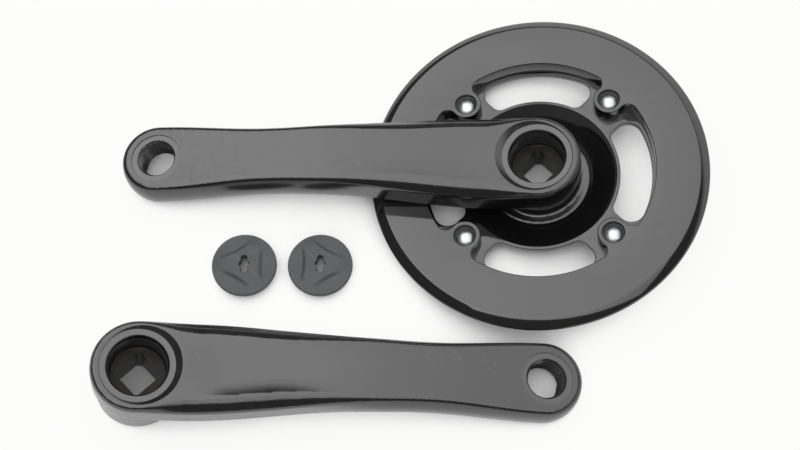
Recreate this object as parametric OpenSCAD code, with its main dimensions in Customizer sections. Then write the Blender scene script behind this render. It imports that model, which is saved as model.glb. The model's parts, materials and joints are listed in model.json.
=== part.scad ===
// Bicycle crankset laid out as a kit: the drive crank with its chainring and
// riveted chain guard, the left crank beside it, and the two dust caps taken off.
// Millimetres. +Z is up. The origin is the centre of the drive crank's square
// socket, in the boss's inner face.

/* [Cranks] */
// Distance from the spindle axis to the pedal axis
crank_length = 152; // [140:1:175]
// Height of the drive crank's cap seat above its inner face
drive_boss_height = 25.5; // [25:0.5:30]
// Height of the left crank's cap seat above its inner face
left_boss_height = 29.5; // [25:0.5:33]
// Radius of the round boss end, seen from outside
boss_radius = 17.3; // [16.5:0.1:18]
// Radius of the boss where it stands behind the arm
shank_radius = 16; // [15:0.1:16.3]

/* [Arm] */
// Half width of the arm at its waist
waist_half_width = 11.3; // [10.5:0.1:13]
// Distance from the spindle axis to the waist
waist_distance = 105; // [95:1:110]
// Swell of the arm's rounded sides, beyond its outer face
side_bulge = 2; // [0:0.1:2.5]
// Radius of the pedal end
pedal_end_radius = 13.9; // [13:0.1:16]
// Rise of the outer face above the cap seat, at the boss end
rise_at_boss = 0.4; // [0.2:0.1:1.5]
// Rise of the outer face above the cap seat, at the waist
rise_at_waist = 10.5; // [9.5:0.1:13]
// Rise of the outer face above the cap seat, at the pedal end
rise_at_pedal = 9.6; // [8:0.1:11]
// Thickness of the arm at the pedal end
pedal_end_thickness = 12.3; // [11:0.1:14]
// Extra depth of the arm's root below the pedal end's inner face
root_depth = 10.8; // [9:0.1:12]
// Half width of the flat face along the middle of the arm's root
facet_half_width = 12; // [10:0.1:13]
// Drop of the first bevel beside that flat face
shoulder_drop = 1.4; // [1:0.1:2.5]
// Drop of the steeper bevel below it, down to the arm's side
root_bevel_drop = 2; // [1.5:0.1:3]

/* [Bores] */
// Radius of the cap seat's flat floor
cap_seat_radius = 13.9; // [13.5:0.1:14.5]
// Radius of the relief at the mouth of the puller thread
puller_relief_radius = 11.3; // [11:0.1:12]
// Depth of that relief
puller_relief_depth = 2; // [1:0.1:3]
// Bore radius of the M22 puller thread
puller_thread_radius = 10.5; // [10.4:0.05:10.7]
// Length of the puller thread
puller_thread_length = 9; // [7:0.5:10]
// Width across flats of the square socket, at its bolt seat
socket_seat_width = 12.5; // [12:0.1:12.8]
// Width across flats of the square socket, at its inner mouth
socket_mouth_width = 13.3; // [13:0.1:13.6]
// Radius that cuts off the socket's corners
socket_corner_radius = 8.2; // [7.8:0.1:8.6]
// Bore radius of the 9/16 inch pedal thread
pedal_thread_radius = 6.9; // [6.8:0.05:7.1]
// Radius of the washer face sunk round the pedal thread
washer_face_radius = 10.1; // [9:0.1:11]
// Depth of the washer face
washer_face_depth = 0.7; // [0.4:0.1:1]

/* [Chainring] */
// Number of teeth
tooth_count = 28; // [26:1:29]
// Chain pitch
chain_pitch = 12.7; // [12.7:0.1:12.7]
// Radius of a chain roller's seat between the teeth
roller_radius = 3.95; // [3.9:0.01:4.1]
// Height of a tooth above the pitch circle
tooth_height = 2.8; // [2:0.1:3.2]
// Thickness of the steel plate
plate_thickness = 2.9; // [2.5:0.1:3.2]
// Height of the plate's back face above the drive crank's inner face
plate_height = 5.7; // [5.6:0.1:6]
// Depth that the plate's centre is pressed back
dish_depth = 4.4; // [3.5:0.1:4.4]
// Radius of the dish at the plate's front face
dish_radius = 30.8; // [29:0.1:31]
// Radius of the dish's flat floor
dish_floor_radius = 21.6; // [21.1:0.1:26]
// Radius of the plate's centre disc, at the inner edge of its windows
disc_radius = 32.9; // [32:0.1:35]
// Radius of the outer edge of the plate's windows
plate_window_radius = 45.5; // [45:0.1:47]
// Half width of each of the plate's four arms
plate_arm_half_width = 8.8; // [8:0.1:9.5]
// Corner radius at the outer edge of a plate window
window_outer_corner = 5.5; // [4:0.1:6]
// Corner radius at the inner edge of a plate window
window_inner_corner = 3.8; // [3:0.1:4.5]
// Radius of the crank's flange that backs on to the dish
flange_radius = 21; // [20:0.1:21]
// Radius of the peened lip that holds the chainring on the boss
peened_lip_radius = 17.8; // [17:0.1:18.4]

/* [Chain guard] */
// Outer radius of the guard
guard_radius = 67.6; // [66:0.1:70]
// Width of the guard's sloping rim
rim_width = 3.6; // [2.5:0.1:5]
// Depth of the guard from its face to the chainring
guard_depth = 7.5; // [7:0.1:8.4]
// Thickness of the guard's face
guard_wall = 2.6; // [2.2:0.1:3.4]
// Drop of the sloping rim
rim_drop = 2.1; // [1.5:0.1:2.5]
// Height of the plain lip below the sloping rim
lip_height = 1.6; // [1:0.1:2.5]
// Radius of the guard's windows at their outer edge
guard_window_radius = 46.6; // [46:0.1:48]
// Thickness of the wall that runs back from the windows' edge
window_wall = 2.8; // [2:0.1:3.5]
// Radius of a rivet tab
tab_radius = 6.2; // [5.8:0.1:6.6]
// Corner radius between a tab and the windows' outer edge
tab_corner_radius = 3.5; // [3:0.1:5]

/* [Rivets] */
// Radius of the circle that the rivets stand on
rivet_circle_radius = 41; // [40.5:0.1:41.5]
// Radius of a rivet's head
rivet_head_radius = 4.1; // [3:0.1:4.1]
// Height of a rivet's domed head
rivet_head_height = 2; // [1.4:0.1:2.2]
// Radius of a rivet's shank
rivet_shank_radius = 2; // [1.5:0.1:2.5]
// Gap between a rivet's shank and its hole
rivet_clearance = 0.05; // [0.03:0.01:0.1]
// Radius of the recess that a rivet's head sits in
rivet_recess_radius = 4.4; // [4.2:0.1:4.8]
// Depth of that recess
rivet_recess_depth = 2.4; // [2.2:0.1:3]
// Height of the formed tail behind the chainring
rivet_tail_height = 1.5; // [1:0.1:2]

/* [Dust caps] */
// Radius of a dust cap's flange
cap_radius = 12.9; // [12.5:0.1:13.2]
// Thickness of the flange at its edge
cap_flange_thickness = 1.9; // [1.5:0.1:2.5]
// Height of the three-sided boss on the flange
cap_boss_height = 1.3; // [0.8:0.1:2]
// Length of the screwed skirt below the flange
cap_skirt_length = 4.4; // [3:0.1:5]
// Gap between the skirt and the puller thread
cap_skirt_clearance = 0.1; // [0.05:0.05:0.2]
// Wall of the skirt
cap_skirt_wall = 1.8; // [1.2:0.1:2.5]
// Radius of the hollows on the cap boss's three sides
cap_hollow_radius = 36; // [14:1:40]
// Distance from the cap's middle to each hollow's edge
cap_hollow_distance = 5.5; // [5:0.1:6]
// Radius of the cap boss's outline
cap_boss_radius = 9.6; // [9:0.1:11.5]
// Width across flats of the six-sided key hole
key_hole_width = 3.8; // [3.6:0.1:4.4]
// Radius of the two round notches beside the key hole
key_notch_radius = 1.3; // [1:0.1:1.5]
// Distance of each notch's centre from the key hole's
key_notch_distance = 2.3; // [2:0.1:2.5]

/* [Layout] */
// Turn of the drive crank on the surface
drive_turn = -1.6; // [-10:0.1:10]
// Turn of the left crank on the surface
left_turn = 0; // [-8:0.1:8]
// Place of the left crank's boss, to the left of the drive crank's
left_place_x = -158.1; // [-170:0.1:-130]
// Place of the left crank's boss, in front of the drive crank's
left_place_y = -86.3; // [-110:0.1:-85]
// Places of the two dust caps
caps_place_x = [-119.0, -88.8]; // [-125:0.1:-85]
// Distance of the two dust caps in front of the drive crank's axis
caps_place_y = -37.6; // [-42:0.1:-36]
// Turn of each dust cap
caps_turn = [180, 0]; // [0:1:360]

/* [Hidden] */
$fn = 96;

// margin that a cutting tool runs past the face it cuts
past = 1;

// heights above the drive crank's inner face
plate_front = plate_height + plate_thickness;
guard_front = plate_front + guard_depth;
guard_face_radius = guard_radius - rim_width;
dish_floor = plate_front - dish_depth;
dish_back = dish_floor - plate_thickness;

// the drive assembly leans until its boss's edge and a tooth touch the surface
pitch_radius = chain_pitch / (2 * sin(180 / tooth_count));
tip_radius = pitch_radius + tooth_height;
drive_lean = atan(plate_height / (tip_radius - shank_radius));
surface = -shank_radius * sin(drive_lean);

// the left crank leans until its boss's edge and its pedal end touch the surface
pedal_end_inner = rise_at_pedal - pedal_end_thickness;
end_edge_round = 1.8;
left_lean = atan((left_boss_height + pedal_end_inner)
    / (crank_length + pedal_end_radius - end_edge_round - shank_radius));
left_lift = surface + shank_radius * sin(left_lean);

// lengths along the arm over which its shape changes
swell_length = 90;
rise_start = -18;
rise_length = 106;
root_start = 8;
root_length = 92;
facet_fade_start = 45;
facet_fade_length = 50;
end_gap = 2;
crest_round = 1.8;
seat_rim_width = 1.6;
seat_rim_length = 22;
neck_depth = 12.5;

function smooth(t) =
    let (u = min(1, max(0, t)))
    u * u * (3 - 2 * u);

// fading: 1 at the boss, 0 at the waist and beyond
function root_share(x) = 1 - smooth((x - facet_fade_start) / facet_fade_length);

// share of the way from the waist to the pedal end
function end_share(x) =
    smooth((x - waist_distance - end_gap) / (crank_length - waist_distance - end_gap));

function arm_half_width(x) =
    x < 0 ? sqrt(max(0, pow(boss_radius, 2) - x * x))
    : x < waist_distance
        ? waist_half_width + (boss_radius - waist_half_width)
            * smooth((waist_distance - x) / swell_length)
    : x < crank_length
        ? waist_half_width + (pedal_end_radius - waist_half_width) * end_share(x)
    : sqrt(max(0, pow(pedal_end_radius, 2) - pow(x - crank_length, 2)));

// heights of the arm's outer and inner face above the cap seat
function arm_outer(x) =
    rise_at_boss + (rise_at_waist - rise_at_boss) * smooth((x - rise_start) / rise_length)
    - (rise_at_waist - rise_at_pedal) * end_share(x);
function arm_inner(x) =
    pedal_end_inner - root_depth * (1 - smooth((x - root_start) / root_length));

function blend(from, to, share) = from + (to - from) * share;

// one side of a cross section, from the outer face's edge to the inner face's:
// a soft crest and a bulging side at the waist, two bevels and a wall at the root.
// Each step is the distance outside the outline and the height.
function half_section(x) =
    let (w = arm_half_width(x), r = root_share(x), top = arm_outer(x), bottom = arm_inner(x),
        depth = top - bottom, away = smooth(x / seat_rim_length),
        bulge = side_bulge * (x < 0 ? 0 : (1 - r) * (1 - 0.4 * end_share(x))),
        facet = blend(seat_rim_width, boss_radius - facet_half_width, away),
        first_drop = blend(0.4, shoulder_drop, away),
        second_drop = blend(1.8, shoulder_drop + root_bevel_drop, away),
        outward = x < 0 ? [x, w] / boss_radius
            : x > crank_length ? [x - crank_length, w] / pedal_end_radius : [0, 1],
        steps = [
            [-blend(crest_round, facet, r), top],
            [-blend(0.45, facet * 0.42, r), top - blend(0.4, first_drop, r)],
            [-facet * 0.1 * r, top - blend(1, second_drop, r)],
            [bulge * 0.92, top - blend(0.4, 0.45, r) * depth],
            [bulge, top - 0.65 * depth],
            [bulge * 0.75, bottom + 1.5],
            [bulge * 0.4 - 0.6, bottom + 0.4],
            [-end_edge_round, bottom]
        ])
    [for (step = steps) [x + outward[0] * step[0], w + outward[1] * step[0], step[1]]];

function reversed(list) = [for (i = [len(list) - 1 : -1 : 0]) list[i]];

function section(x, seat) =
    let (half = [for (p = half_section(x)) p + [0, 0, seat]])
    concat(half, [for (p = reversed(half)) [p[0], -p[1], p[2]]]);

stations = concat(
    [for (t = [5, 18, 32, 46, 60, 75]) -boss_radius * cos(t)],
    [for (s = [0 : 8 : waist_distance]) s],
    [for (s = [0 : 0.2 : 1]) waist_distance + 4 + (crank_length - waist_distance - 4) * s],
    [for (t = [14, 28, 42, 56, 70, 84]) crank_length + pedal_end_radius * sin(t)]
);

module arm_blank(seat) {
    rings = [for (x = stations) section(x, seat)];
    n = len(rings[0]);
    last = len(rings) - 1;
    polyhedron(
        points = [for (ring = rings) each ring],
        faces = concat(
            [for (j = [0 : n / 2 - 2]) [n - 1 - j, n - 2 - j, j + 1, j]],
            [for (j = [0 : n / 2 - 2]) [j, j + 1, n - 2 - j, n - 1 - j] + last * [n, n, n, n]],
            [for (i = [0 : last - 1], j = [0 : n - 1])
                [i * n + j, i * n + (j + 1) % n, (i + 1) * n + j]],
            [for (i = [0 : last - 1], j = [0 : n - 1])
                [(i + 1) * n + j, i * n + (j + 1) % n, (i + 1) * n + (j + 1) % n]]
        ),
        convexity = 6
    );
}

// cap seat, puller thread and square socket, all on the spindle axis
module spindle_cut(seat) {
    seat_slope = 12;
    bolt_seat = seat - puller_relief_depth - puller_thread_length;
    translate([0, 0, seat])
        cylinder(h = seat_slope, r1 = cap_seat_radius, r2 = cap_seat_radius + seat_slope);
    translate([0, 0, seat - puller_relief_depth])
        cylinder(h = puller_relief_depth + past, r = puller_relief_radius);
    translate([0, 0, bolt_seat])
        cylinder(h = puller_thread_length + past, r = puller_thread_radius);
    slope = (socket_mouth_width - socket_seat_width) / bolt_seat;
    wide = (socket_mouth_width + slope * past) / 2;
    narrow = (socket_seat_width - slope * past) / 2;
    intersection() {
        rotate([0, 0, 45])
            polyhedron(
                points = [for (z = [0, 1], q = [[-1, -1], [1, -1], [1, 1], [-1, 1]])
                    [q[0] * (z == 0 ? wide : narrow), q[1] * (z == 0 ? wide : narrow),
                        z == 0 ? -past : bolt_seat + past]],
                faces = [[0, 1, 2, 3], [7, 6, 5, 4], [0, 4, 5, 1], [1, 5, 6, 2], [2, 6, 7, 3], [3, 7, 4, 0]]
            );
        translate([0, 0, -2 * past])
            cylinder(h = bolt_seat + 4 * past, r = socket_corner_radius);
    }
}

// pedal thread with its chamfer and washer face
module pedal_cut(seat) {
    washer_face = seat + rise_at_pedal - washer_face_depth;
    chamfer = 0.6;
    translate([crank_length, 0, washer_face])
        cylinder(h = washer_face_depth + 2 * past, r = washer_face_radius);
    translate([crank_length, 0, washer_face - chamfer])
        cylinder(h = chamfer, r1 = pedal_thread_radius, r2 = pedal_thread_radius + chamfer);
    translate([crank_length, 0, seat + pedal_end_inner - past])
        cylinder(h = pedal_end_thickness + 2 * past, r = pedal_thread_radius);
}

// drive side lean: the pedal end points to -X
module on_drive_axis() {
    rotate([0, -drive_lean, 0])
        rotate([0, 0, drive_turn])
            children();
}

module drive_crank_arm() {
    seat = drive_boss_height;
    neck = seat - neck_depth;
    color("dimgray")
        on_drive_axis()
            difference() {
                union() {
                    rotate([0, 0, 180])
                        arm_blank(seat);
                    rotate_extrude()
                        polygon([
                            [0, 0], [shank_radius - 0.5, 0], [shank_radius, 0.5],
                            [shank_radius, dish_back - 0.8], [peened_lip_radius, dish_back - 0.5],
                            [peened_lip_radius, dish_back], [shank_radius, dish_back],
                            [shank_radius, dish_floor], [flange_radius, dish_floor],
                            [flange_radius, dish_floor + 1.2], [flange_radius - 0.4, dish_floor + 1.6],
                            [shank_radius + 1.4, dish_floor + 1.6], [shank_radius + 0.4, dish_floor + 2.6],
                            [shank_radius + 0.4, neck + 5], [0, neck + 5]
                        ]);
                }
                spindle_cut(seat);
                rotate([0, 0, 180])
                    pedal_cut(seat);
            }
}

module left_crank_arm() {
    seat = left_boss_height;
    neck = seat - neck_depth;
    color("dimgray")
        translate([left_place_x, left_place_y, left_lift])
            rotate([0, left_lean, 0])
                rotate([0, 0, left_turn])
                    difference() {
                        union() {
                            arm_blank(seat);
                            rotate_extrude()
                                polygon([
                                    [0, 0], [shank_radius - 0.5, 0], [shank_radius, 0.5],
                                    [shank_radius, neck - 3], [shank_radius + 0.4, neck],
                                    [shank_radius + 0.4, neck + 5], [0, neck + 5]
                                ]);
                        }
                        spindle_cut(seat);
                        pedal_cut(seat);
                    }
}

function arc(centre, radius, from, to, steps) =
    [for (i = [0 : steps]) let (a = from + (to - from) * i / steps)
        centre + radius * [cos(a), sin(a)]];

function mirrored(points) = [for (p = reversed(points)) [p[0], -p[1]]];

// one window of the plate, on the +X side, with its four corners rounded
module plate_window() {
    outer_reach = plate_window_radius - window_outer_corner;
    inner_reach = disc_radius + window_inner_corner;
    outer_angle = 45 - asin((plate_arm_half_width + window_outer_corner) / outer_reach);
    inner_angle = 45 - asin((plate_arm_half_width + window_inner_corner) / inner_reach);
    outer_corner = outer_reach * [cos(outer_angle), sin(outer_angle)];
    inner_corner = inner_reach * [cos(inner_angle), sin(inner_angle)];
    half = concat(
        arc([0, 0], plate_window_radius, 3, outer_angle - 2, 6),
        arc(outer_corner, window_outer_corner, outer_angle, 135, 8),
        arc(inner_corner, window_inner_corner, 135, 180 + inner_angle, 6),
        arc([0, 0], disc_radius, inner_angle - 2, 2, 5)
    );
    polygon(concat(mirrored(half), half));
}

// the space between two teeth
module tooth_gap() {
    flank_angle = 28;
    reach = tooth_height + past;
    spread = roller_radius * cos(flank_angle);
    lift = roller_radius * sin(flank_angle);
    translate([pitch_radius, 0]) {
        circle(roller_radius);
        polygon([
            [-lift, -spread], [reach, -spread - (reach + lift) * tan(flank_angle)],
            [reach, spread + (reach + lift) * tan(flank_angle)], [-lift, spread]
        ]);
    }
}

module chainring() {
    color("darkslategray")
        on_drive_axis()
            difference() {
                union() {
                    translate([0, 0, plate_height])
                        linear_extrude(plate_thickness)
                            difference() {
                                circle(tip_radius);
                                circle(dish_radius);
                                for (k = [0 : tooth_count - 1])
                                    rotate([0, 0, k * 360 / tooth_count])
                                        tooth_gap();
                            }
                    rotate_extrude()
                        polygon([
                            [shank_radius + 0.05, dish_back], [dish_floor_radius + 1, dish_back],
                            [dish_radius + 0.6, plate_height], [dish_radius + 0.6, plate_front],
                            [dish_radius, plate_front], [dish_floor_radius, dish_floor],
                            [shank_radius + 0.05, dish_floor]
                        ]);
                }
                for (k = [0 : 3])
                    rotate([0, 0, 90 * k])
                        translate([0, 0, plate_height - past])
                            linear_extrude(plate_thickness + 2 * past)
                                plate_window();
                for (k = [0 : 3])
                    rotate([0, 0, 45 + 90 * k])
                        translate([rivet_circle_radius, 0, plate_height - past])
                            cylinder(h = plate_thickness + 2 * past, r = rivet_shank_radius + rivet_clearance);
            }
}

// the guard's opening: four windows joined round four rivet tabs
module guard_opening() {
    reach = guard_window_radius - tab_corner_radius;
    touch = tab_radius + tab_corner_radius;
    swing = acos((pow(rivet_circle_radius, 2) + reach * reach - touch * touch)
        / (2 * rivet_circle_radius * reach));
    corner = reach * [cos(swing), sin(swing)];
    outside = guard_window_radius + past;
    difference() {
        circle(guard_window_radius);
        for (k = [0 : 3])
            rotate([0, 0, 45 + 90 * k]) {
                translate([rivet_circle_radius, 0])
                    circle(tab_radius);
                for (side = [-1, 1])
                    difference() {
                        polygon([
                            [rivet_circle_radius, 0], [outside, 0],
                            outside * [cos(swing), side * sin(swing)], [corner[0], side * corner[1]]
                        ]);
                        translate([corner[0], side * corner[1]])
                            circle(tab_corner_radius);
                    }
            }
    }
}

module chain_guard() {
    back = guard_front - guard_wall;
    lip_bottom = guard_front - rim_drop - lip_height;
    color("black")
        on_drive_axis()
            difference() {
                union() {
                    rotate_extrude()
                        polygon([
                            [0, plate_front], [guard_window_radius + window_wall, plate_front],
                            [guard_window_radius + window_wall, back], [guard_face_radius - 0.8, back],
                            [guard_radius - guard_wall, lip_bottom], [guard_radius, lip_bottom],
                            [guard_radius, lip_bottom + lip_height], [guard_face_radius, guard_front],
                            [0, guard_front]
                        ]);
                }
                translate([0, 0, plate_front - past])
                    linear_extrude(guard_depth + 2 * past)
                        guard_opening();
                for (k = [0 : 3])
                    rotate([0, 0, 45 + 90 * k])
                        translate([rivet_circle_radius, 0, 0]) {
                            translate([0, 0, plate_front - past])
                                cylinder(h = guard_depth + past, r = rivet_shank_radius + rivet_clearance);
                            translate([0, 0, guard_front - rivet_recess_depth])
                                cylinder(h = rivet_recess_depth + past, r = rivet_recess_radius);
                        }
            }
}

// dome of a given base radius and height, standing on z = 0
module dome(base, height) {
    ball = (base * base + height * height) / (2 * height);
    intersection() {
        translate([0, 0, height - ball])
            sphere(ball);
        cylinder(h = height + past, r = base);
    }
}

module guard_rivet(k) {
    head_seat = guard_front - rivet_recess_depth;
    color("silver")
        on_drive_axis()
            rotate([0, 0, 45 + 90 * k])
                translate([rivet_circle_radius, 0, 0]) {
                    translate([0, 0, head_seat])
                        dome(rivet_head_radius, rivet_head_height);
                    translate([0, 0, plate_height - 0.5])
                        cylinder(h = head_seat - plate_height + 1, r = rivet_shank_radius);
                    translate([0, 0, plate_height])
                        mirror([0, 0, 1])
                            dome(rivet_head_radius - 0.3, rivet_tail_height);
                }
}

module cap_outline() {
    difference() {
        circle(cap_boss_radius);
        for (k = [0 : 2])
            rotate([0, 0, 120 * k + 60])
                translate([cap_hollow_distance + cap_hollow_radius, 0])
                    circle(cap_hollow_radius);
    }
}

module dust_cap(k) {
    skirt_radius = puller_thread_radius - cap_skirt_clearance;
    disc_thickness = 2.4;
    flange_top = cap_skirt_length + cap_flange_thickness;
    color("darkslategray")
        translate([caps_place_x[k], caps_place_y, surface])
            rotate([0, 0, caps_turn[k]])
                difference() {
                    union() {
                        rotate_extrude()
                            polygon([
                                [0, 0], [skirt_radius, 0], [skirt_radius, cap_skirt_length],
                                [cap_radius, cap_skirt_length], [cap_radius, flange_top - 0.7],
                                [cap_radius - 0.9, flange_top], [0, flange_top]
                            ]);
                        translate([0, 0, flange_top - 0.5])
                            linear_extrude(cap_boss_height + 0.5)
                                cap_outline();
                    }
                    translate([0, 0, -past])
                        cylinder(h = flange_top - disc_thickness + past, r = skirt_radius - cap_skirt_wall);
                    translate([0, 0, -past]) {
                        cylinder(h = flange_top + cap_boss_height + 2 * past,
                            r = key_hole_width / 2 / cos(30), $fn = 6);
                        for (side = [-1, 1])
                            translate([0, side * key_notch_distance, 0])
                                cylinder(h = flange_top + cap_boss_height + 2 * past, r = key_notch_radius);
                    }
                }
}

drive_crank_arm();
chainring();
chain_guard();
guard_rivet(0);  // guard_rivet_1
guard_rivet(1);  // guard_rivet_2
guard_rivet(2);  // guard_rivet_3
guard_rivet(3);  // guard_rivet_4
left_crank_arm();
dust_cap(0);  // drive_dust_cap
dust_cap(1);  // left_dust_cap
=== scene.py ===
"""Bicycle crankset laid out as a kit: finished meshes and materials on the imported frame."""
import json
from math import acos, asin, atan2, cos, degrees, pi, radians, sin, sqrt

import bmesh
import bpy
from mathutils import Matrix, Vector
from mathutils.geometry import tessellate_polygon


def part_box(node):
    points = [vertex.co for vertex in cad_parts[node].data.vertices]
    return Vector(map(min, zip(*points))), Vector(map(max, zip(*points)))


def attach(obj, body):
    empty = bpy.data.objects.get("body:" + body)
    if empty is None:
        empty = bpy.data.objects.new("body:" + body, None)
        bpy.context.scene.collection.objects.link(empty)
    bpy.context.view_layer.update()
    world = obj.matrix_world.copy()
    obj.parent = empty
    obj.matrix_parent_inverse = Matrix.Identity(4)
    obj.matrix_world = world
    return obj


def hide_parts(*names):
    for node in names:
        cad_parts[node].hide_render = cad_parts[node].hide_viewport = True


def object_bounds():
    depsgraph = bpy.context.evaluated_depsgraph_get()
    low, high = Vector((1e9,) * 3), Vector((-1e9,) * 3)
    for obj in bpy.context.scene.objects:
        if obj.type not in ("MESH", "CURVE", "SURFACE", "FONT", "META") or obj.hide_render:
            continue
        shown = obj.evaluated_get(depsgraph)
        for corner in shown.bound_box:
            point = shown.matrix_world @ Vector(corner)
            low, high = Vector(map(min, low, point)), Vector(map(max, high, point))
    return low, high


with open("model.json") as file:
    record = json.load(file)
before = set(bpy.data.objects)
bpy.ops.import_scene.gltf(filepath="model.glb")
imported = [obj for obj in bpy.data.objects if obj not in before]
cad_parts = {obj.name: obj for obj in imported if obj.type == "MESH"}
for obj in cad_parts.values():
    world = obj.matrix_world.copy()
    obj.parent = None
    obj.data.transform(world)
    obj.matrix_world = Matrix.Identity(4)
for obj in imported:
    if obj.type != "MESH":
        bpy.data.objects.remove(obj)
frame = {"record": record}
CAD_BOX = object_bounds()
MM = 0.001


# ---------------------------------------------------------------- sizes, in millimetres

class Arm:
    """Sizes that both crank arms share. Lengths run from the spindle axis to the pedal axis."""
    boss_radius = 17.3
    shank_radius = 16.0
    waist_half_width = 11.3
    waist_distance = 105.0
    side_bulge = 2.0
    pedal_end_radius = 13.9
    rise_at_boss = 0.3
    rise_at_waist = 10.5
    rise_at_pedal = 9.6
    pedal_end_thickness = 12.3
    root_depth = 10.8
    facet_half_width = 12.0
    first_bevel_drop = 1.19
    first_bevel_share = 0.5
    second_bevel_drop = 3.4
    second_bevel_share = 0.08
    bevel_stops = (0.18, 0.36, 0.45)
    wall_round = 1.1
    swell_length = 90.0
    rise_start = -18.0
    rise_length = 106.0
    root_start = 8.0
    root_length = 92.0
    facet_fade_start = 45.0
    facet_fade_length = 50.0
    seat_rim_width = 1.6
    seat_rim_length = 22.0
    seat_rim_drops = (0.4, 1.8)
    end_gap = 2.0
    crest_round = 2.2
    crest_angle = 35.0
    crest_stop = 0.36
    tuck_angle = 20.0
    under_round = 1.8
    face_hollow = 0.3
    root_hollow = {"drive": 0.8, "left": 2.2}
    hollow_start = 12.0
    hollow_length = 22.0
    end_bulge_loss = 0.4
    shank_chamfer = 0.5
    neck_depth = 12.5
    neck_taper = 3.0
    neck_swell = 0.4
    neck_overlap = 5.0
    outline_step = 1.1
    face_stops = (1.0, 0.85, 0.7, 0.55, 0.4, 0.27, 0.16, 0.07)
    under_stops = (0.2, 0.45, 0.7, 1.0)
    edge_steps = 28
    under_steps = 6
    skin_voxel = 0.48
    relax_passes = 3
    sharp_angle = 38.0


class Bore:
    """Sizes of the machined holes in each arm."""
    cap_seat_radius = 13.9
    cap_seat_break = 0.15
    cap_seat_rise = 14
    puller_relief_radius = 11.3
    puller_relief_depth = 2.0
    relief_break = 0.35
    fillet = 0.2
    bolt_seat_groove = 0.3
    bolt_seat_chamfer = 0.6
    puller_ridge_start = 0.7
    puller_ridge_loss = 1.0
    thread_depth = 0.5
    puller_pitch = 1.0
    pedal_pitch = 1.27
    socket_seat_width = 12.5
    socket_mouth_width = 13.3
    socket_corner_radius = 8.2
    washer_face_radius = 10.1
    washer_face_depth = 0.7
    washer_face_fillet = (0.15, 0.1)
    pedal_break = 0.5
    pedal_countersink = 1.6
    pedal_ridge_start = 1.2
    pedal_ridge_loss = 2.0
    pedal_ridge_extra = 0.1
    overrun = 1.0


class Plate:
    """Sizes of the chainring."""
    thickness = 2.9
    height = 5.7
    tooth_count = 28
    chain_pitch = 12.7
    roller_radius = 3.95
    tooth_height = 2.8
    tooth_bevel = ((1.2, 0), (0.25, 0.45), (0, 0.9))
    gullet_swing = 62
    tip_half_angle = 1.15
    dish_depth = 4.4
    dish_radius = 30.8
    dish_brow = 0.9
    dish_floor_radius = 21.6
    dish_softness = 0.4
    dish_steps = 12
    back_offset = 0.7
    hub_radius = Arm.shank_radius + 0.05
    disc_radius = 32.9
    window_radius = 45.5
    arm_half_width = 8.8
    outer_corner = 5.5
    inner_corner = 3.8
    flange_radius = 21.0
    flange_thickness = 1.6
    flange_chamfer = 0.4
    flange_fillet = 1.0
    lip_radius = 17.8
    lip_height = 0.5
    lip_fillet = 0.3
    edge_round = 0.35


class Guard:
    """Sizes of the chain guard."""
    radius = 67.6
    face_radius = 64.0
    depth = 7.5
    wall = 2.6
    rim_drop = 2.1
    lip_height = 1.6
    window_radius = 46.6
    window_wall = 2.8
    tab_radius = 6.2
    tab_corner = 3.5
    edge_round = 0.45
    # (outwards, upwards) steps round the rim's edges, and round the ones inside the guard
    brow = ((-0.5, 0), (-0.2, -0.03), (0.15, -0.2))
    lip_top = ((-0.45, 0.25), (-0.12, -0.05), (0, -0.35))
    lip_foot = ((0, 0.3), (-0.3, 0))
    lip_inside = ((0.3, 0), (0, 0.2))
    wall_root = ((0.8, 0), (0.23, -0.23), (0, -0.8))
    wall_foot = ((0, 0.3), (-0.3, 0))
    opening_foot = ((0.0, 0.2), (0.2, 0))
    face_inset = 1.0


class Rivet:
    """Sizes of the guard's rivets."""
    circle_radius = 41.0
    head_radius = 4.1
    head_height = 2.0
    shank_radius = 2.0
    hole_radius = shank_radius + 0.05
    recess_radius = 4.4
    recess_depth = 2.4
    recess_round = 0.25
    recess_fillet = 0.3
    tail_inset = 0.3
    tail_height = 1.5
    head_wall = ((-0.1, 0), (0, 0.12), (-0.08, 0.3))
    dome_base = 0.3
    tip_radius = 0.02


class Cap:
    """Sizes of the dust caps."""
    radius = 12.9
    flange_thickness = 1.9
    boss_height = 1.3
    skirt_length = 4.4
    skirt_radius = 10.4
    skirt_wall = 1.8
    hollow_radius = 36.0
    hollow_distance = 5.5
    hollow_reach = 7.6
    hollow_wall = 1.8
    crown_radius = 7.5
    crown_drop = 0.85
    key_width = 3.8
    notch_radius = 1.3
    notch_distance = 2.3
    roof_thickness = 2.4
    thread_depth = 0.45
    ridge_start = 0.9
    ridge_loss = 1.6
    brim_round = 0.35
    key_round = 0.25
    key_edge = ((0.06, -0.1), (0, -0.35))
    scoop_floor = 0.1
    points = 240
    rings = 60


class Studio:
    """Sizes of the table, lamp and camera, in metres, and the levels of light."""
    table_size = 6
    paper_colour = (0.86, 0.86, 0.855)
    # white glow painted on the paper where it is seen, lightening shadows
    glow_white = (1.0, 1.0, 0.995, 1)
    glow_share = 0.9
    shade_reach = 0.035
    shade_from, shade_to = 0.24, 0.6
    room_level = 0.1
    backdrop_level = 0.9
    backdrop_way = (-0.6, -0.12, 1.0)
    backdrop_full, backdrop_gone = -0.05, 0.08
    lamp_size = (1.7, 2.05)
    lamp_place = (0.0, 0.18, 1.0)
    lamp_level = 2.2
    lamp_left, lamp_right = 1.1, 0.5
    lamp_fade_start = 0.78
    lens = 58.5
    film_width = 36
    near = 0.01
    camera_place = (-0.0571, -0.2178, 0.4883)
    camera_tilt = 22.16


PLATE_FRONT = Plate.height + Plate.thickness
GUARD_FRONT = PLATE_FRONT + Guard.depth
DISH_FLOOR = PLATE_FRONT - Plate.dish_depth
PITCH_RADIUS = Plate.chain_pitch / (2 * sin(pi / Plate.tooth_count))
TIP_RADIUS = PITCH_RADIUS + Plate.tooth_height


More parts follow.
